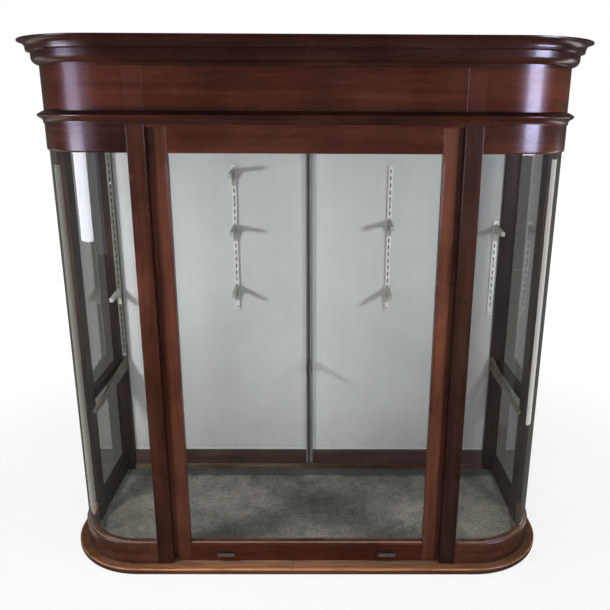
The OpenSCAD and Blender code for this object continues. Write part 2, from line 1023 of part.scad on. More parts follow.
plinth_board();
floor_panel();
base_rail_left();
base_rail_right();
side_base_rails();
side_post_left();
side_post_right();
rear_post_left();
rear_post_right();
side_mid_rails();
side_head_rails();
rear_bottom_rail();
rear_rail_bead();
rear_top_rail();
back_panel_left();
back_panel_right();
back_joint_strip();
head_band_left();
head_band_right();
frieze_centre();
frieze_left();
frieze_right();
moulding_front();
moulding_left();
moulding_right();
cornice_front();
cornice_left();
cornice_right();
top_board();
ceiling_panel();
inner_head_rail();
bent_glass_left();
bent_glass_right();
side_panes_left();
side_panes_right();
stile_face_left();
stile_face_right();
pulley_board_left();
pulley_board_right();
weight_box_left();
weight_box_right();
pulley_cases();
pulley_left();
pulley_right();
weight_left();
weight_right();
cord_left();
cord_right();
sash_stile_left();
sash_stile_right();
sash_top_rail();
sash_bottom_rail();
sash_glass();
sash_beads();
sash_lifts();
standards_inner();
standards_outer();
shelf_brackets();
standard_screws();
side_bearers();
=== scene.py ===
import math

import bmesh
import bpy
from mathutils import Matrix, Vector


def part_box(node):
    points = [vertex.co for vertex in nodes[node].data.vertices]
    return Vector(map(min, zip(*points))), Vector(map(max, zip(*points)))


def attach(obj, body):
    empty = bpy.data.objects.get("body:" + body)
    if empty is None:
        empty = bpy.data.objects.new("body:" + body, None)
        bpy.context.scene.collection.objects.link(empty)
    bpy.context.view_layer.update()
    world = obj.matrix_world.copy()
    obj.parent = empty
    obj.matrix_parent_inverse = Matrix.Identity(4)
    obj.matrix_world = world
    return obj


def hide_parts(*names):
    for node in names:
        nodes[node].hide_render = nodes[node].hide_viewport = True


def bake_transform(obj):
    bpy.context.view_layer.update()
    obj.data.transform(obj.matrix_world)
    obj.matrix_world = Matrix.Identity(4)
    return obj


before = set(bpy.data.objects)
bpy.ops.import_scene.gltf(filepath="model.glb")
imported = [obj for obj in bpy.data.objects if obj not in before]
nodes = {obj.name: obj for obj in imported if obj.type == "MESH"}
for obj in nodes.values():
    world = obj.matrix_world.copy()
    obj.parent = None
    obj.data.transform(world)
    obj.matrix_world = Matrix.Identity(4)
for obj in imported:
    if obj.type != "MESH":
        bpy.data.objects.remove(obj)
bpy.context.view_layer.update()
scene = bpy.context.scene

# Places that the finishes refer to, in metres
FACE_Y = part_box("stile_face_left")[0].y
RAIL_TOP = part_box("base_rail_left")[1].z
SASH_RAIL_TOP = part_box("sash_bottom_rail")[1].z
FRIEZE_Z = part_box("frieze_left")[0].z
PANEL_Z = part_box("back_panel_left")[0].z
BACK_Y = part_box("floor_panel")[1].y
PLINTH_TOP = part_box("plinth_board")[1].z
HALF_W = 0.768
CORNER_R = 0.225
PLINTH_BUTT_X = -0.045
STANDARD_FOOT = 0.72
STANDARD_TOPS = {-0.273: 1.24, 0.296: 1.235, 0.691: 1.04}


# Shader helpers

def add(tree, kind, inputs=None, **properties):
    """A new node, with its properties and inputs set or linked."""
    made = tree.nodes.new(kind)
    for key, value in properties.items():
        setattr(made, key, value)
    for key, value in (inputs or {}).items():
        if isinstance(value, bpy.types.NodeSocket):
            tree.links.new(value, made.inputs[key])
        else:
            made.inputs[key].default_value = value
    return made


def math_node(tree, operation, a, b=0.0):
    return add(tree, "ShaderNodeMath", {0: a, 1: b}, operation=operation).outputs[0]


def plus(tree, a, b):
    return math_node(tree, "ADD", a, b)


def minus(tree, a, b):
    return math_node(tree, "SUBTRACT", a, b)


def times(tree, a, b):
    return math_node(tree, "MULTIPLY", a, b)


def larger(tree, a, b):
    return math_node(tree, "MAXIMUM", a, b)


def apart(tree, value, centre):
    """How far value lies from centre, to either side."""
    return math_node(tree, "ABSOLUTE", minus(tree, value, centre))


def hypotenuse(tree, a, b):
    return math_node(tree, "SQRT", plus(tree, times(tree, a, a), times(tree, b, b)))


def mix(tree, factor, a, b, blend_type="MIX"):
    """The colour a where factor is 0 and b where it is 1, or both blended another way."""
    return add(tree, "ShaderNodeMix", {0: factor, 6: a, 7: b}, data_type="RGBA",
               blend_type=blend_type).outputs[2]


def scaled(tree, colour, factor):
    """A colour whose three channels are multiplied by factor."""
    grey = add(tree, "ShaderNodeCombineXYZ", {0: factor, 1: factor, 2: factor}).outputs[0]
    return mix(tree, 1.0, colour, grey, "MULTIPLY")


def ramp(tree, factor, places, colours):
    """A colour ramp with one colour at each place."""
    made = add(tree, "ShaderNodeValToRGB", {"Fac": factor})
    elements = made.color_ramp.elements
    while len(elements) < len(places):
        elements.new(0.5)
    for element, place, colour in zip(elements, places, colours):
        element.position = place
        element.color = (*colour, 1)
    return made.outputs["Color"]


def spread(tree, factor, low, high, to_low=0.0, to_high=1.0):
    """factor, stretched from low..high to to_low..to_high and clamped."""
    return add(tree, "ShaderNodeMapRange", {"Value": factor, "From Min": low, "From Max": high,
                                            "To Min": to_low, "To Max": to_high}).outputs[0]


def vary(tree, pattern, low, high):
    """low to high, as a noise runs over the range that it mostly keeps to."""
    return spread(tree, pattern, 0.3, 0.7, low, high)


def between(tree, value, rise, fall):
    """0 to 1 over the pair of values rise, and back to 0 over the pair fall."""
    return times(tree, spread(tree, value, *rise), spread(tree, value, *fall, 1.0, 0.0))


def noise(tree, stretch, detail=4.0, roughness=0.5, distortion=0.0, offset=(0, 0, 0)):
    """Noise with so many features per metre along each axis."""
    place = add(tree, "ShaderNodeTexCoord").outputs["Object"]
    mapped = add(tree, "ShaderNodeMapping", {"Vector": place, "Location": offset,
                                             "Scale": stretch}).outputs[0]
    return add(tree, "ShaderNodeTexNoise", {"Vector": mapped, "Scale": 1.0, "Detail": detail,
                                            "Roughness": roughness,
                                            "Distortion": distortion}).outputs["Fac"]


def even(features):
    """The same number of features along all three axes."""
    return (features, features, features)


def position(tree):
    """The x, y and z of the shaded point, in metres."""
    place = add(tree, "ShaderNodeTexCoord").outputs["Object"]
    return add(tree, "ShaderNodeSeparateXYZ", {0: place}).outputs


def new_material(name, **sockets):
    """A Principled material. Each keyword sets the socket of that name, underscores for spaces."""
    material = bpy.data.materials.new(name)
    material.use_nodes = True
    tree = material.node_tree
    shader = next(n for n in tree.nodes if n.type == "BSDF_PRINCIPLED")
    for key, value in sockets.items():
        shader.inputs[key.replace("_", " ")].default_value = value
    return material, tree, shader


def paint(tree, shader, colour):
    tree.links.new(colour, shader.inputs["Base Color"])


def bump(tree, shader, height, distance, strength=1.0):
    made = add(tree, "ShaderNodeBump", {"Height": height, "Distance": distance,
                                        "Strength": strength})
    tree.links.new(made.outputs[0], shader.inputs["Normal"])


# Wood

# Features of the figure per metre along x, y and z, for each way that the grain can lie
ALONG = {"level": (1.3, 1.3, 26.0), "upright": (26.0, 26.0, 1.1), "flat": (1.3, 26.0, 26.0)}

# Values of the grain noise that take a palette's dark, middle and light colour
TONES = (0.28, 0.5, 0.72)

# Palettes of dark, middle and light wood
MAHOGANY = ((0.038, 0.0078, 0.0035), (0.084, 0.0182, 0.0072), (0.145, 0.036, 0.0138))
DEEP = ((0.017, 0.0052, 0.0034), (0.037, 0.0105, 0.0062), (0.068, 0.0205, 0.011))
BROWN = ((0.0135, 0.0046, 0.0025), (0.031, 0.0108, 0.0053), (0.059, 0.0218, 0.0113))
SHADED = ((0.008, 0.0046, 0.0032), (0.019, 0.0105, 0.0068), (0.038, 0.0205, 0.0125))
RUSSET = ((0.055, 0.0146, 0.0068), (0.119, 0.0345, 0.0156), (0.19, 0.07, 0.032))
UMBER = ((0.046, 0.0138, 0.0074), (0.1, 0.033, 0.0178), (0.17, 0.062, 0.034))
ASHEN = ((0.038, 0.0205, 0.0158), (0.081, 0.046, 0.035), (0.142, 0.084, 0.066))
EMBER = ((0.026, 0.0066, 0.0032), (0.058, 0.0162, 0.0072), (0.098, 0.0335, 0.0145))
OLIVE = ((0.075, 0.055, 0.035), (0.12, 0.092, 0.062), (0.17, 0.135, 0.095))

# Pale wood for worn polish and a painted sheen on top bevels, and the height over which one finish
# gives way to another
WORN_AND_SHEEN_WOOD = (0.25, 0.18, 0.135, 1)
EDGE = 0.0005


def figure_of(tree, grain, shift):
    """The broad figure of wood whose grain lies level, upright or flat."""
    return noise(tree, ALONG[grain], 5.0, 0.55, 0.5, shift)


def finer(grain, factor):
    """The stretch of a noise that is finer than the figure by a factor."""
    return tuple(factor * features for features in ALONG[grain])


def wood(name, grain, palette, rough=0.26, gloss=0.14, seed=0.0, mottle=0.35, wear_and_sheen=None,
         crown=None, shine=0.42):
    """Polished wood whose grain lies level, upright, or flat as on a board seen from above.

    The pair of heights bounds a band where the polish is worn off and a painted sheen lies, as on
    a lit top bevel, and crown is a height above which the piece is faced like the frieze.
    """
    material, tree, shader = new_material(name, Coat_Weight=gloss, Coat_Roughness=0.1,
                                          Coat_IOR=1.5, Specular_IOR_Level=shine,
                                          Specular_Tint=(0.86, 0.82, 1.0, 1))
    shift = (seed * 3.1, seed * 1.7, seed * 2.3)
    streaks = noise(tree, finer(grain, 6), 4.0, 0.6, 0.2, shift)
    pores = noise(tree, finer(grain, 30), 2.0, 0.5, 0.0, shift)
    clouds = noise(tree, even(5.0), 3.0, 0.5, 0.0, shift)
    height = position(tree)["Z"]
    tone = plus(tree, times(tree, figure_of(tree, grain, shift), 0.68), times(tree, streaks, 0.32))
    colour = scaled(tree, ramp(tree, tone, TONES, palette),
                    vary(tree, clouds, 1.0 - mottle, 1.0 + mottle * 0.6))
    if crown:
        faced = ramp(tree, figure_of(tree, "level", (3.1, 1.7, 2.3)), TONES, MAHOGANY)
        colour = mix(tree, spread(tree, height, crown - EDGE, crown), colour, faced)
    flecks = spread(tree, pores, 0.56, 0.7)
    pore_colour = (*(0.4 * channel for channel in palette[0]), 1)
    colour = mix(tree, times(tree, flecks, 0.5), colour, pore_colour)
    # Worn polish and a painted sheen on the top bevel
    if wear_and_sheen:
        low, high = wear_and_sheen
        inside = between(tree, height, (low - EDGE, low + EDGE), (high - EDGE, high))
        patches = spread(tree, streaks, 0.3, 0.5, 0.55, 1.0)
        colour = mix(tree, times(tree, inside, patches), colour, WORN_AND_SHEEN_WOOD)
    paint(tree, shader, colour)
    tree.links.new(vary(tree, clouds, rough - 0.05, rough + 0.07), shader.inputs["Roughness"])
    bump(tree, shader, minus(tree, streaks, times(tree, flecks, 0.6)), 0.0002, 0.5)
    return material


frieze_wood = wood("frieze_wood", "level", MAHOGANY, seed=1.0)
cornice_wood = wood("cornice_wood", "level", DEEP, rough=0.24, seed=2.0)
moulding_wood = wood("moulding_wood", "level", DEEP, seed=3.0)
band_wood = wood("band_wood", "level", DEEP, rough=0.22, seed=4.0)
# The rails get worn polish and a painted sheen on their top bevels
rail_wood = wood("rail_wood", "level", UMBER, seed=5.0,
                 wear_and_sheen=(RAIL_TOP - 0.003, RAIL_TOP - 0.0005))
sash_rail_wood = wood("sash_rail_wood", "level", MAHOGANY, rough=0.3, seed=6.0,
                      wear_and_sheen=(SASH_RAIL_TOP - 0.0035, SASH_RAIL_TOP - 0.0005))
stile_wood = wood("stile_wood", "upright", EMBER, rough=0.28, seed=7.0, mottle=0.5,
                  crown=FRIEZE_Z)
# The right fixed stile is a darker copy of the stile wood: painted shade
shaded_right_stile_wood = wood("shaded_right_stile_wood", "upright", BROWN, rough=0.28, seed=7.5,
                        crown=FRIEZE_Z)
sash_stile_wood = wood("sash_stile_wood", "upright", RUSSET, rough=0.3, seed=8.0)
post_wood = wood("post_wood", "upright", SHADED, rough=0.4, gloss=0.0, seed=9.0, shine=0.15)
box_wood = wood("box_wood", "upright", DEEP, rough=0.5, gloss=0.05, seed=10.0)
side_rail_wood = wood("side_rail_wood", "level", SHADED, rough=0.4, gloss=0.0, seed=11.0,
                      shine=0.15)
back_rail_wood = wood("back_rail_wood", "level", ASHEN, rough=0.42, gloss=0.05, seed=12.0)
top_wood = wood("top_wood", "flat", MAHOGANY, rough=0.62, gloss=0.0, seed=13.0)
bearer_wood = wood("bearer_wood", "level", OLIVE, rough=0.5, gloss=0.0, seed=15.0)


def plinth_wood():
    """Tan at the rails and orange-brown outward, with a pale arris that is partly worn and partly
    a painted highlight, a brown edge face in painted shade, and painted shade toward both ends.
    """
    material, tree, shader = new_material("plinth_wood", Specular_IOR_Level=0.45,
                                          Coat_Weight=0.1, Coat_Roughness=0.2, Roughness=0.42)
    at = position(tree)
    figure = noise(tree, (2.0, 14.0, 20.0), 5.0, 0.6, 0.4)
    streaks = noise(tree, (9.0, 150.0, 150.0), 4.0, 0.6)

    # How far the point lies outside the rounded line of the rails
    across = apart(tree, at["X"], 0.0)
    side = larger(tree, minus(tree, across, HALF_W - CORNER_R), 0.0)
    front = larger(tree, minus(tree, FACE_Y + CORNER_R, at["Y"]), 0.0)
    outset = minus(tree, hypotenuse(tree, side, front), CORNER_R)

    wobble = times(tree, minus(tree, figure, 0.5), 0.008)
    colour = ramp(tree, spread(tree, plus(tree, outset, wobble), 0.0, 0.03),
                  (0.0, 0.35, 0.6, 0.84),
                  ((0.275, 0.152, 0.092), (0.32, 0.146, 0.074),
                   (0.42, 0.145, 0.055), (0.46, 0.165, 0.062)))
    # The pale arris: worn polish and a painted highlight along the top edge
    arris = times(tree, spread(tree, outset, 0.0235, 0.0262),
                  spread(tree, at["Z"], PLINTH_TOP - 0.0035, PLINTH_TOP - 0.0025))
    wear_and_sheen = times(tree, arris, spread(tree, streaks, 0.3, 0.6, 0.4, 1.0))
    colour = mix(tree, wear_and_sheen, colour, (0.72, 0.4, 0.2, 1))
    # Painted shade on the edge face below the arris
    shaded_edge_face = spread(tree, at["Z"], PLINTH_TOP - 0.007, PLINTH_TOP - 0.004, 1.0, 0.0)
    colour = mix(tree, shaded_edge_face, colour, (0.15, 0.048, 0.02, 1))

    # Painted shade toward both ends of the plinth
    shaded_ends = times(tree, spread(tree, at["X"], 0.1, 0.78, 1.0, 0.36),
                 spread(tree, at["X"], -0.76, -0.3, 0.36, 1.0))
    butt = spread(tree, apart(tree, at["X"], PLINTH_BUTT_X), 0.0004, 0.001, 0.2, 1.0)
    shade = times(tree, times(tree, vary(tree, streaks, 0.55, 1.25), shaded_ends), butt)
    paint(tree, shader, scaled(tree, colour, shade))
    bump(tree, shader, streaks, 0.0003, 0.5)
    return material


def bead_wood():
    """Scuffed wood, olive toward the left end and red toward the right."""
    material, tree, shader = new_material("bead_wood", Specular_IOR_Level=0.3, Roughness=0.5)
    worn = noise(tree, (6.0, 60.0, 60.0), 4.0, 0.6)
    places = (0.35, 0.65)
    olive = ramp(tree, worn, places, ((0.07, 0.058, 0.03), (0.2, 0.17, 0.095)))
    red = ramp(tree, worn, places, ((0.05, 0.018, 0.012), (0.14, 0.05, 0.03)))
    paint(tree, shader, mix(tree, spread(tree, position(tree)["X"], -0.35, 0.3), olive, red))
    return material


# Boards, floor covering and metals

# Painted shadow on the boards behind the standards, which makes their slots look dark
SLOT_SHADOW = (0.05, 0.055, 0.07, 1)


def painted_board():
    """Off-white paint with painted shade that darkens it upward and toward the right, and strips
    of painted shadow behind the standards.

    The strips show on both faces of a board.
    """
    material, tree, shader = new_material("painted_board", Roughness=0.55, Specular_IOR_Level=0.35)
    at = position(tree)
    clouds = noise(tree, (1.6, 1.6, 2.2), 4.0, 0.55, 0.3)
    brushed = noise(tree, (60.0, 60.0, 3.0), 3.0, 0.6)
    grime = noise(tree, even(9.0), 5.0, 0.7, 0.0, (3, 1, 2))

    colour = mix(tree, spread(tree, clouds, 0.35, 0.65), (0.655, 0.655, 0.66, 1),
                 (0.735, 0.735, 0.74, 1))
    colour = mix(tree, times(tree, spread(tree, brushed, 0.45, 0.75), 0.1), colour,
                 (0.5, 0.5, 0.48, 1))
    low = spread(tree, at["Z"], RAIL_TOP, RAIL_TOP + 0.16, 1.0, 0.0)
    stain = times(tree, spread(tree, grime, 0.42, 0.7), plus(tree, times(tree, low, 0.22), 0.05))
    colour = mix(tree, stain, colour, (0.3, 0.29, 0.25, 1))
    edge = spread(tree, at["Z"], PANEL_Z + 0.005, PANEL_Z + 0.007, 1.0, 0.0)
    colour = mix(tree, edge, colour, (0.85, 0.86, 0.85, 1))
    # Painted shade: darker upward and toward the right
    painted_falloff = times(tree, spread(tree, at["Z"], 0.3, 1.25, 1.06, 0.86),
                 spread(tree, at["X"], 0.42, 0.62, 1.0, 0.76))
    colour = scaled(tree, colour, painted_falloff)

    # A strip of painted shadow behind each standard, seen through its slots
    for x, top in STANDARD_TOPS.items():
        beside = spread(tree, apart(tree, at["X"], x), 0.005, 0.0055, 1.0, 0.0)
        behind = between(tree, at["Z"], (STANDARD_FOOT, STANDARD_FOOT + 0.001), (top - 0.001, top))
        colour = mix(tree, times(tree, beside, behind), colour, SLOT_SHADOW)
    paint(tree, shader, colour)
    bump(tree, shader, brushed, 0.0002, 0.5)
    return material


def floor_cloth():
    """A short warm-grey felt with dust and specks on it, and a dark blue-grey band along the back.
    """
    material, tree, shader = new_material("floor_cloth", Specular_IOR_Level=0.15,
                                          Sheen_Weight=0.08, Sheen_Roughness=0.6)
    clouds = noise(tree, even(4.5), 6.0, 0.62, 0.6)
    blots = noise(tree, even(16.0), 5.0, 0.65, 0.2, (2, 5, 1))
    fibre = noise(tree, even(420.0), 2.0, 0.6)
    specks = noise(tree, even(150.0), 1.5, 0.4, 0.0, (7, 3, 0))
    grain = noise(tree, even(170.0), 3.0, 0.7, 0.0, (1, 8, 2))

    colour = ramp(tree, clouds, (0.3, 0.5, 0.7),
                  ((0.168, 0.152, 0.125), (0.268, 0.246, 0.207), (0.4, 0.366, 0.31)))
    colour = mix(tree, times(tree, spread(tree, blots, 0.45, 0.62), 0.45), colour,
                 (0.085, 0.08, 0.07, 1))
    colour = mix(tree, times(tree, spread(tree, specks, 0.66, 0.72), 0.6), colour,
                 (0.36, 0.34, 0.3, 1))
    colour = mix(tree, times(tree, spread(tree, specks, 0.34, 0.28), 0.5), colour,
                 (0.03, 0.03, 0.026, 1))
    # A dark blue-grey band along the back of the floor
    depth = plus(tree, position(tree)["Y"], times(tree, minus(tree, blots, 0.5), 0.03))
    back_band = spread(tree, depth, BACK_Y - 0.066, BACK_Y - 0.056, 0.0, 0.75)
    colour = mix(tree, back_band, colour, (0.04, 0.045, 0.052, 1))
    colour = scaled(tree, colour, spread(tree, grain, 0.32, 0.68, 0.55, 1.4))
    colour = mix(tree, times(tree, fibre, 0.35), colour, (0.06, 0.06, 0.055, 1))
    paint(tree, shader, colour)
    tree.links.new(vary(tree, blots, 0.55, 0.85), shader.inputs["Roughness"])
    bump(tree, shader, plus(tree, fibre, times(tree, blots, 0.8)), 0.0008, 0.8)
    return material


def metal(name, dark, light, metallic, rough):
    """Metal or enamel, clouded and finely scratched."""
    material, tree, shader = new_material(name, Metallic=metallic)
    clouds = noise(tree, even(22.0), 5.0, 0.65)
    marks = noise(tree, even(70.0), 3.0, 0.6, 0.0, (4, 4, 4))
    tone = plus(tree, times(tree, clouds, 0.6), times(tree, marks, 0.4))
    paint(tree, shader, ramp(tree, tone, (0.32, 0.66), (dark, light)))
    tree.links.new(vary(tree, clouds, rough - 0.08, rough + 0.12), shader.inputs["Roughness"])
    bump(tree, shader, marks, 0.0002, 0.5)
    return material


def two_tone(name, axis, edges, outer, inner, rough):
    """Metal of the colour inner between two positions along an axis, and outer beyond them."""
    material, tree, shader = new_material(name, Metallic=0.1, Roughness=rough)
    clouds = noise(tree, (60.0, 60.0, 12.0), 4.0, 0.6)
    rise, fall = ((edge - 0.0003, edge + 0.0003) for edge in edges)
    colour = mix(tree, between(tree, position(tree)[axis], rise, fall), (*outer, 1), (*inner, 1))
    paint(tree, shader, scaled(tree, colour, vary(tree, clouds, 0.72, 1.15)))
    bump(tree, shader, clouds, 0.0003, 0.5)
    return material


strip_metal = two_tone("strip_metal", "X", (-0.0065, 0.002), (0.27, 0.26, 0.24),
                       (0.045, 0.045, 0.042), 0.5)
rail_enamel = metal("rail_enamel", (0.7, 0.7, 0.68), (0.86, 0.86, 0.84), 0.0, 0.4)
# Enamel of the outer standards, with painted shade on the face of the left one; its left edge and
# the right standard stay white
outer_enamel_shaded_left = two_tone("outer_enamel_shaded_left", "X", (-0.7215, -0.7), (0.78, 0.78, 0.76),
                        (0.12, 0.12, 0.09), 0.45)
bracket_zinc = metal("bracket_zinc", (0.36, 0.35, 0.31), (0.55, 0.53, 0.48), 0.1, 0.5)
lift_metal = two_tone("lift_metal", "Y", (FACE_Y - 0.01, FACE_Y + 0.0075), (0.035, 0.026, 0.022),
                      (0.145, 0.108, 0.092), 0.4)
brass = metal("brass", (0.22, 0.15, 0.06), (0.5, 0.37, 0.17), 1.0, 0.36)
iron = metal("iron", (0.03, 0.028, 0.027), (0.1, 0.09, 0.085), 0.7, 0.6)


# Glass

def pane(name, tint, open_view=False):
    """Clear glass that lets the lamps through to what is behind it.

    With an open view, what is seen through the glass comes straight on and isn't bent.
    """
    material = bpy.data.materials.new(name)
    material.use_nodes = True
    tree = material.node_tree
    tree.nodes.clear()
    shader = add(tree, "ShaderNodeBsdfPrincipled", {"Base Color": (*tint, 1), "Roughness": 0.0,
                                                    "IOR": 1.5, "Transmission Weight": 1.0})
    clear = add(tree, "ShaderNodeBsdfTransparent", {"Color": (*tint, 1)})
    path = add(tree, "ShaderNodeLightPath").outputs
    straight_on = larger(tree, path["Is Shadow Ray"], path["Is Diffuse Ray"])
    if open_view:
        straight_on = larger(tree, straight_on, path["Is Camera Ray"])
    both = add(tree, "ShaderNodeMixShader", {0: straight_on, 1: shader.outputs[0],
                                             2: clear.outputs[0]})
    output = add(tree, "ShaderNodeOutputMaterial", {"Surface": both.outputs[0]})
    output.is_active_output = True
    bump(tree, shader, noise(tree, (3.0, 3.0, 1.2), 4.0, 0.6, 0.8), 0.0006, 0.25)
    return material


clear_pane = pane("clear_pane", (0.97, 0.98, 0.985))
sash_pane = pane("sash_pane", (0.955, 0.965, 0.97), open_view=True)
bent_pane = pane("bent_pane", (0.95, 0.965, 0.955))


# Every CAD node gets its finish and the modifiers that suit it

FINISHES = {
    frieze_wood: ("frieze_centre", "frieze_left", "frieze_right"),
    cornice_wood: ("cornice_front", "cornice_left", "cornice_right"),
    moulding_wood: ("moulding_front", "moulding_left", "moulding_right"),
    band_wood: ("head_band_left", "head_band_right"),
    rail_wood: ("base_rail_left", "base_rail_right"),
    sash_rail_wood: ("sash_top_rail", "sash_bottom_rail"),
    stile_wood: ("stile_face_left",),
    shaded_right_stile_wood: ("stile_face_right",),
    sash_stile_wood: ("sash_stile_left", "sash_stile_right", "sash_beads"),
    post_wood: ("side_post_left", "side_post_right", "rear_post_left", "rear_post_right"),
    box_wood: ("pulley_board_left", "pulley_board_right", "weight_box_left", "weight_box_right"),
    side_rail_wood: ("side_base_rails", "side_mid_rails", "side_head_rails"),
    back_rail_wood: ("rear_bottom_rail", "rear_top_rail", "inner_head_rail"),
    bead_wood(): ("rear_rail_bead",),
    bearer_wood: ("side_bearers",),
    top_wood: ("top_board",),
    plinth_wood(): ("plinth_board",),
    painted_board(): ("back_panel_left", "back_panel_right", "ceiling_panel"),
    floor_cloth(): ("floor_panel",),
    strip_metal: ("back_joint_strip",),
    rail_enamel: ("standards_inner",),
    outer_enamel_shaded_left: ("standards_outer",),
    bracket_zinc: ("shelf_brackets", "standard_screws"),
    lift_metal: ("sash_lifts",),
    brass: ("pulley_cases", "pulley_left", "pulley_right"),
    iron: ("weight_left", "weight_right"),
    clear_pane: ("side_panes_left", "side_panes_right"),
    sash_pane: ("sash_glass",),
    bent_pane: ("bent_glass_left", "bent_glass_right"),
}

# Nodes whose long edges are softened, by the width of the rounding in metres
SOFT_EDGES = {
    0.0012: ("base_rail_left", "base_rail_right", "side_base_rails", "sash_bottom_rail",
             "sash_top_rail", "side_mid_rails", "rear_bottom_rail", "frieze_centre",
             "side_post_left", "side_post_right", "rear_post_left", "rear_post_right"),
    0.0008: ("sash_stile_left", "sash_stile_right", "inner_head_rail"),
    0.0004: ("shelf_brackets", "sash_lifts"),
}


def soften(piece, width):
    weld = piece.modifiers.new("weld", "WELD")
    weld.merge_threshold = 0.00001
    flatten = piece.modifiers.new("flatten", "DECIMATE")
    flatten.decimate_type = "DISSOLVE"
    flatten.angle_limit = math.radians(0.5)
    edges = piece.modifiers.new("edges", "BEVEL")
    edges.width = width
    edges.segments = 2
    edges.limit_method = "ANGLE"
    edges.angle_limit = math.radians(35)
    edges.harden_normals = True


for material, names in FINISHES.items():
    for name in names:
        for slot in nodes[name].material_slots:
            slot.link = "OBJECT"
            slot.material = material

for width, names in SOFT_EDGES.items():
    for name in names:
        soften(nodes[name], width)


# Sash cords: a cotton line with a visible twist

def cotton():
    material, tree, shader = new_material("cord_cotton", Roughness=0.85, Sheen_Weight=0.3,
                                          Specular_IOR_Level=0.2)
    dirt = noise(tree, (40.0, 40.0, 12.0), 4.0, 0.6)
    fibre = noise(tree, (900.0, 900.0, 500.0), 2.0, 0.6)
    colour = ramp(tree, dirt, (0.35, 0.65), ((0.2, 0.16, 0.1), (0.46, 0.4, 0.29)))
    paint(tree, shader, mix(tree, times(tree, fibre, 0.4), colour, (0.1, 0.08, 0.05, 1)))
    bump(tree, shader, fibre, 0.0003)
    return material


# The radius, the length of one turn of the strands and the gap between points, in metres
CORD_R = 0.0025
LAY = 0.022
POINT_GAP = 0.003
STRANDS = 3
CORD_SIDES = 12
BEND_STEPS = 24

# How far the cords run into the sash, and how far above the weights they end
IN_SASH = 0.0085
OFF_WEIGHT = 0.0004


def rope(name, points, material):
    """A three-strand line along the points, which are about POINT_GAP apart."""
    mesh = bmesh.new()
    rings = []
    run = 0.0
    for i, point in enumerate(points):
        ahead = points[min(i + 1, len(points) - 1)] - points[max(i - 1, 0)]
        ahead.normalize()
        across = Vector((0, 1, 0))
        third = ahead.cross(across).normalized()
        if i:
            run += (point - points[i - 1]).length
        twist = 2 * math.pi * run / LAY
        ring = []
        for k in range(CORD_SIDES):
            angle = 2 * math.pi * k / CORD_SIDES
            radius = CORD_R * (0.9 + 0.1 * math.cos(STRANDS * (angle - twist)))
            outward = math.cos(angle) * across + math.sin(angle) * third
            ring.append(mesh.verts.new(point + radius * outward))
        rings.append(ring)
    for low, high in zip(rings, rings[1:]):
        for k in range(CORD_SIDES):
            after = (k + 1) % CORD_SIDES
            mesh.faces.new((low[k], low[after], high[after], high[k]))
    mesh.faces.new(list(reversed(rings[0])))
    mesh.faces.new(rings[-1])
    bmesh.ops.recalc_face_normals(mesh, faces=mesh.faces)
    data = bpy.data.meshes.new(name)
    mesh.to_mesh(data)
    mesh.free()
    data.polygons.foreach_set("use_smooth", [True] * len(data.polygons))
    data.materials.append(material)
    piece = bpy.data.objects.new(name, data)
    scene.collection.objects.link(piece)
    return piece


def straight(start, end):
    """Points from start to end, about POINT_GAP apart."""
    count = max(2, round((end - start).length / POINT_GAP))
    return [start.lerp(end, i / count) for i in range(count + 1)]


cord_fibre = cotton()
for side, word in ((-1, "left"), (1, "right")):
    low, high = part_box("cord_" + word)
    wheel_low, wheel_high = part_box("pulley_" + word)
    hub = (wheel_low + wheel_high) / 2
    weight_low, weight_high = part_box("weight_" + word)
    y = (low.y + high.y) / 2
    weight_x = (weight_low.x + weight_high.x) / 2
    sash_x = 2 * hub.x - weight_x
    arc_r = abs(weight_x - hub.x)
    anchor = low.z + CORD_R

    top = Vector((sash_x, y, hub.z))
    foot = Vector((sash_x, y, anchor))
    run = rope("sash_cord_" + word, straight(top, foot), cord_fibre)
    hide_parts("cord_" + word)
    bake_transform(run)

    angles = [math.pi * i / BEND_STEPS for i in range(BEND_STEPS + 1)]
    bend = [Vector((hub.x - side * arc_r * math.cos(a), y, hub.z + arc_r * math.sin(a)))
            for a in angles]
    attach(rope("pulley_cord_" + word, bend, cord_fibre), "case")

    start = Vector((weight_x, y, hub.z))
    end = Vector((weight_x, y, weight_high.z + OFF_WEIGHT))
    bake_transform(rope("weight_cord_" + word, straight(start, end), cord_fibre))

    inner_end = Vector((side * (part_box("sash_stile_right")[1].x - IN_SASH), y, anchor))
    knot = straight(foot, inner_end)
    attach(rope("cord_end_" + word, knot, cord_fibre), "sash")


# Camera

CAMERA_PLACE = (0.0412, -2.1111, 1.4283)
PITCH = math.radians(16.28)
YAW = math.radians(0.34)
ROLL = math.radians(0.26)

ahead = Vector((math.sin(YAW) * math.cos(PITCH), math.cos(YAW) * math.cos(PITCH),
                -math.sin(PITCH)))
level = Vector((math.cos(YAW), -math.sin(YAW), 0))
upright = level.cross(ahead)
right = level * math.cos(ROLL) + upright * math.sin(ROLL)
up = upright * math.cos(ROLL) - level * math.sin(ROLL)
turn = Matrix((right, up, -ahead)).transposed().to_4x4()

camera = bpy.data.objects.new("camera", bpy.data.cameras.new("camera"))
camera.matrix_world = Matrix.Translation(CAMERA_PLACE) @ turn
camera.data.sensor_width = 36.0
camera.data.lens = 38.84
camera.data.shift_x = -0.0308
scene.collection.objects.link(camera)
scene.camera = camera


# Lights

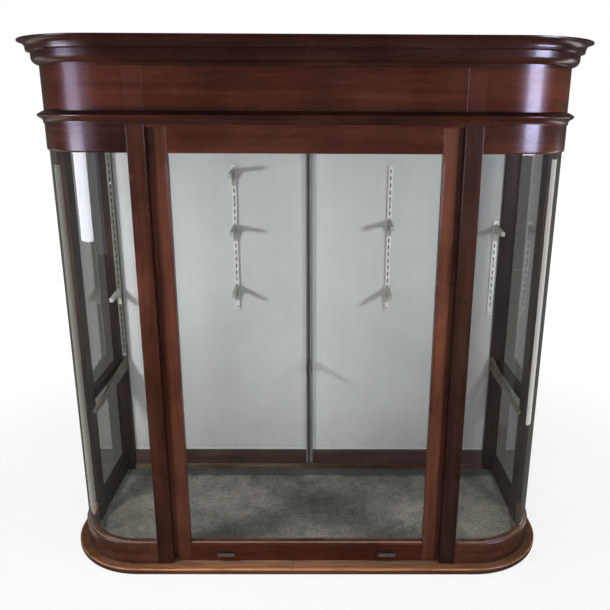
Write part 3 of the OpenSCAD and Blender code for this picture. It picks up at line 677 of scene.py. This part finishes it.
def softbox(name, place, target, wide, high, watts, colour=(1, 1, 1), mirrored=False):
    """A rectangular lamp at place, facing target, that the camera doesn't see.

    A mirrored lamp only shows in reflections. The others light surfaces and aren't reflected.
    """
    lamp = bpy.data.lights.new(name, "AREA")
    lamp.shape = "RECTANGLE"
    lamp.size = wide
    lamp.size_y = high
    lamp.energy = watts
    lamp.color = colour
    made = bpy.data.objects.new(name, lamp)
    facing = (Vector(target) - Vector(place)).to_track_quat("-Z", "Y")
    made.matrix_world = Matrix.Translation(place) @ facing.to_matrix().to_4x4()
    made.visible_camera = False
    made.visible_diffuse = not mirrored
    made.visible_glossy = mirrored
    made.visible_transmission = False
    scene.collection.objects.link(made)


softbox("key_left", (-1.02, -0.62, 1.07), (0.0, 0.25, 0.6), 0.2, 0.09, 9.2)
softbox("key_right", (0.97, -0.64, 1.17), (0.0, 0.25, 0.6), 0.2, 0.09, 7.4)
softbox("front_fill", (0.0, -3.3, 1.4), (0, 0, 0.4), 2.6, 1.0, 27.5)
softbox("top_fill", (0.0, -0.4, 4.2), (0, -0.1, 1.0), 3.0, 2.0, 24)
softbox("side_left_low", (-3.1, -1.75, 0.9), (-0.6, -0.1, 0.9), 1.2, 0.7, 42,
        (0.9, 0.91, 1.0), mirrored=True)
softbox("side_left_high", (-3.1, -1.75, 1.75), (-0.6, -0.1, 1.75), 1.2, 1.0, 26,
        (0.76, 0.74, 1.0), mirrored=True)
softbox("glow_left", (-2.6, -3.1, 1.2), (-0.6, -0.1, 1.3), 1.0, 1.7, 5.5,
        (0.62, 0.76, 1.0), mirrored=True)
softbox("rear_left", (-3.3, 1.1, -0.2), (-0.7, -0.1, 0.6), 1.4, 2.6, 9,
        (1.0, 1.0, 0.86), mirrored=True)
softbox("side_right", (2.9, -2.0, 1.65), (0.6, -0.1, 1.4), 1.2, 1.0, 100,
        (0.72, 0.76, 1.0), mirrored=True)
softbox("glow_right", (2.9, -2.0, 0.75), (0.6, -0.1, 0.8), 1.2, 0.8, 1.6,
        (0.72, 0.86, 1.0), mirrored=True)
softbox("glow_right_low", (2.9, -2.0, -0.25), (0.6, -0.1, 0.0), 1.2, 1.2, 2.2,
        (0.9, 0.95, 1.0), mirrored=True)
softbox("rear_right", (3.42, 1.0, 0.12), (0.7, -0.1, 0.5), 1.0, 2.0, 18, mirrored=True)


# Floor and surroundings

# Half the width of the floor, in metres
FLOOR_REACH = 9


def pale_floor():
    """A pale floor that fades into the white backdrop away from the case."""
    material, tree, shader = new_material("pale_floor", Roughness=0.8, Specular_IOR_Level=0.1)
    cloud = noise(tree, even(0.7), 2.0, 0.5)
    paint(tree, shader, mix(tree, cloud, (0.8, 0.8, 0.8, 1), (0.84, 0.84, 0.84, 1)))
    lit = add(tree, "ShaderNodeEmission", {"Color": (1, 1, 1, 1), "Strength": 1.06})
    at = position(tree)
    faded = spread(tree, hypotenuse(tree, at["X"], at["Y"]), 0.8, 2.4, 0.76, 1.0)
    share = times(tree, add(tree, "ShaderNodeLightPath").outputs["Is Camera Ray"], faded)
    both = add(tree, "ShaderNodeMixShader", {0: share, 1: shader.outputs[0], 2: lit.outputs[0]})
    output = next(n for n in tree.nodes if n.type == "OUTPUT_MATERIAL")
    tree.links.new(both.outputs[0], output.inputs["Surface"])
    return material


def flat_plate(name, corners, material):
    data = bpy.data.meshes.new(name)
    data.from_pydata(corners, [], [tuple(range(len(corners)))])
    data.materials.append(material)
    plate = bpy.data.objects.new(name, data)
    scene.collection.objects.link(plate)
    return plate


ground = flat_plate("floor", [(x * FLOOR_REACH, y * FLOOR_REACH, 0)
                              for x, y in ((-1, -1), (1, -1), (1, 1), (-1, 1))], pale_floor())
ground.visible_glossy = False
ground.visible_transmission = False

# A white backdrop for the camera, in a dim room that the reflections show
world = bpy.data.worlds.new("studio")
scene.world = world
world.use_nodes = True
tree = world.node_tree
tree.nodes.clear()
room = add(tree, "ShaderNodeBackground", {"Color": (1.0, 0.96, 0.87, 1), "Strength": 0.1})
backdrop = add(tree, "ShaderNodeBackground", {"Color": (1, 1, 1, 1), "Strength": 1.0})
seen = add(tree, "ShaderNodeLightPath").outputs["Is Camera Ray"]
both = add(tree, "ShaderNodeMixShader", {0: seen, 1: room.outputs[0], 2: backdrop.outputs[0]})
add(tree, "ShaderNodeOutputWorld", {"Surface": both.outputs[0]})

scene.view_settings.view_transform = "Standard"
